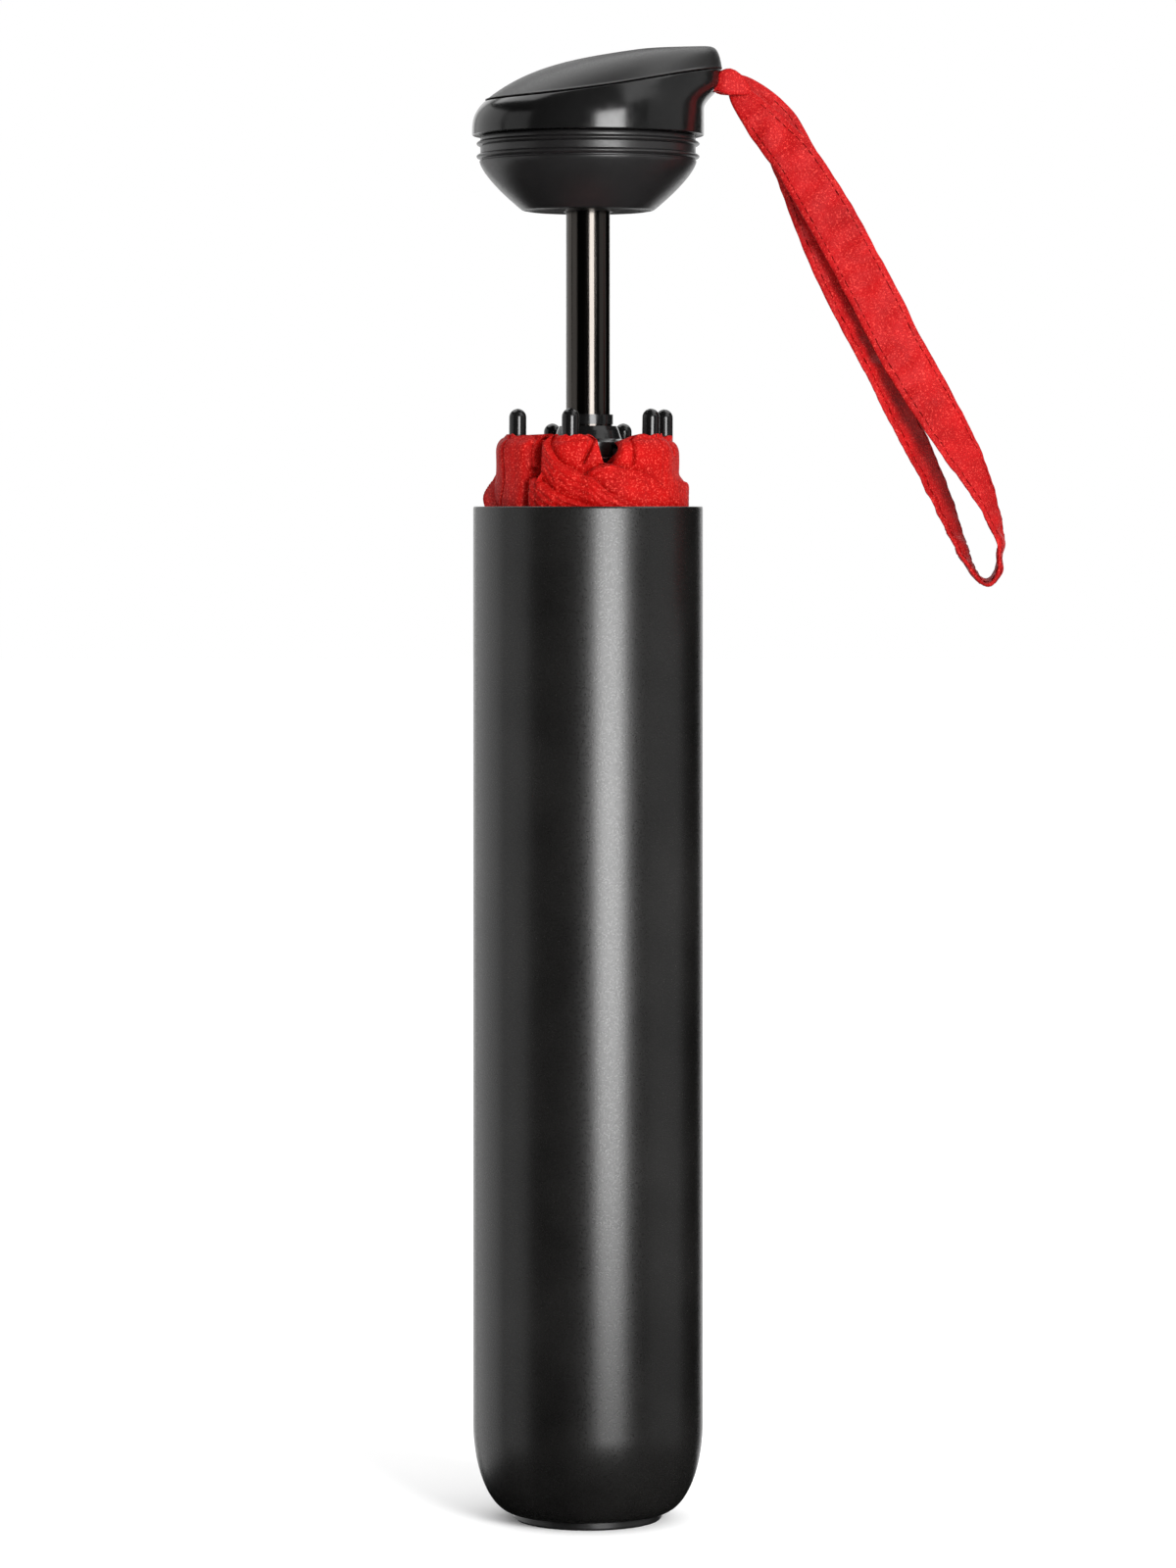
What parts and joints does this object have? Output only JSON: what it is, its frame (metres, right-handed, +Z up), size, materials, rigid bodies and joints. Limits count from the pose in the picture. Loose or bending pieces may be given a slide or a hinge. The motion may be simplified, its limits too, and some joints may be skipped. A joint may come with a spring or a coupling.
{
  "type": "compact folding umbrella in a hard case",
  "caption": "Compact folding umbrella with a slanted cap handle and wrist strap, partly drawn out of its round hard case.",
  "frame": {"origin": "centre of the flat underside of the case's foot, on the axis of the case and the shaft", "axes": "+Z up the case to the handle, +X towards the handle's beak and the wrist strap"},
  "size_m": [0.1207, 0.0526, 0.3331],
  "materials": {
    "case_lacquer": "satin black lacquer with a fine grain",
    "foot_rubber": "matte black",
    "gloss_black": "polished black moulding",
    "satin_black": "satin black moulding",
    "plug_rubber": "matte black soft-touch moulding",
    "dark_steel": "black-nickel plated tube",
    "rib_steel": "dark plated rib steel",
    "bright_steel": "bright wire and pins",
    "canopy_cloth": "vivid red plain-weave polyester with a fine sparkle",
    "strap_ribbon": "red folded satin ribbon with two stitch rows"
  },
  "bodies": {
    "case": {"case_tube": "case_lacquer", "case_foot": "foot_rubber", "foot_clip": "bright_steel"},
    "ferrule": {"ferrule_cap": "gloss_black"},
    "pack": {"crown": "gloss_black", "crown_wire": "bright_steel", "top_tube": "dark_steel", "runner_catch": "bright_steel", "runner": "gloss_black", "runner_wire": "bright_steel", "upper_knees": "gloss_black", "lower_knees": "gloss_black", "knee_rivets": "bright_steel", "control_rods": "bright_steel", "rib_tips": "gloss_black", "canopy": "canopy_cloth", "inner_rib_1": "rib_steel", "inner_rib_2": "rib_steel", "inner_rib_3": "rib_steel", "inner_rib_4": "rib_steel", "inner_rib_5": "rib_steel", "inner_rib_6": "rib_steel", "middle_rib_1": "rib_steel", "middle_rib_2": "rib_steel", "middle_rib_3": "rib_steel", "middle_rib_4": "rib_steel", "middle_rib_5": "rib_steel", "middle_rib_6": "rib_steel", "outer_rib_1": "rib_steel", "outer_rib_2": "rib_steel", "outer_rib_3": "rib_steel", "outer_rib_4": "rib_steel", "outer_rib_5": "rib_steel", "outer_rib_6": "rib_steel", "stretcher_1": "rib_steel", "stretcher_2": "rib_steel", "stretcher_3": "rib_steel", "stretcher_4": "rib_steel", "stretcher_5": "rib_steel", "stretcher_6": "rib_steel"},
    "stage": {"middle_tube": "dark_steel", "middle_collar": "gloss_black"},
    "handle": {"handle_tube": "dark_steel", "tube_socket": "satin_black", "tube_pin": "bright_steel", "handle_plug": "plug_rubber", "seal_ring_upper": "plug_rubber", "seal_ring_lower": "plug_rubber", "handle_body": "gloss_black", "handle_lid": "satin_black", "strap_pin": "bright_steel", "strap_anchor": "strap_ribbon"},
    "strap": {"wrist_strap": "strap_ribbon"}
  },
  "joints": [
    {"name": "umbrella_draw", "type": "slide", "parent": "case", "child": "ferrule", "axis": [0, 0, 1], "range_m": [-0.0394, 0.2]},
    {"name": "umbrella_turn", "type": "hinge", "parent": "ferrule", "child": "pack", "pos_m": [0, 0, 0.054], "axis": [0, 0, 1], "continuous": true},
    {"name": "lower_stage_slide", "type": "slide", "parent": "pack", "child": "stage", "axis": [0, 0, 1], "range_m": [0, 0.155]},
    {"name": "upper_stage_slide", "type": "slide", "parent": "stage", "child": "handle", "axis": [0, 0, 1], "range_m": [-0.0444, 0.112]},
    {"name": "strap_swing", "type": "hinge", "parent": "handle", "child": "strap", "pos_m": [0.0322, 0, 0.325], "axis": [0, 1, 0], "range_deg": [-90, 25]}
  ]
}
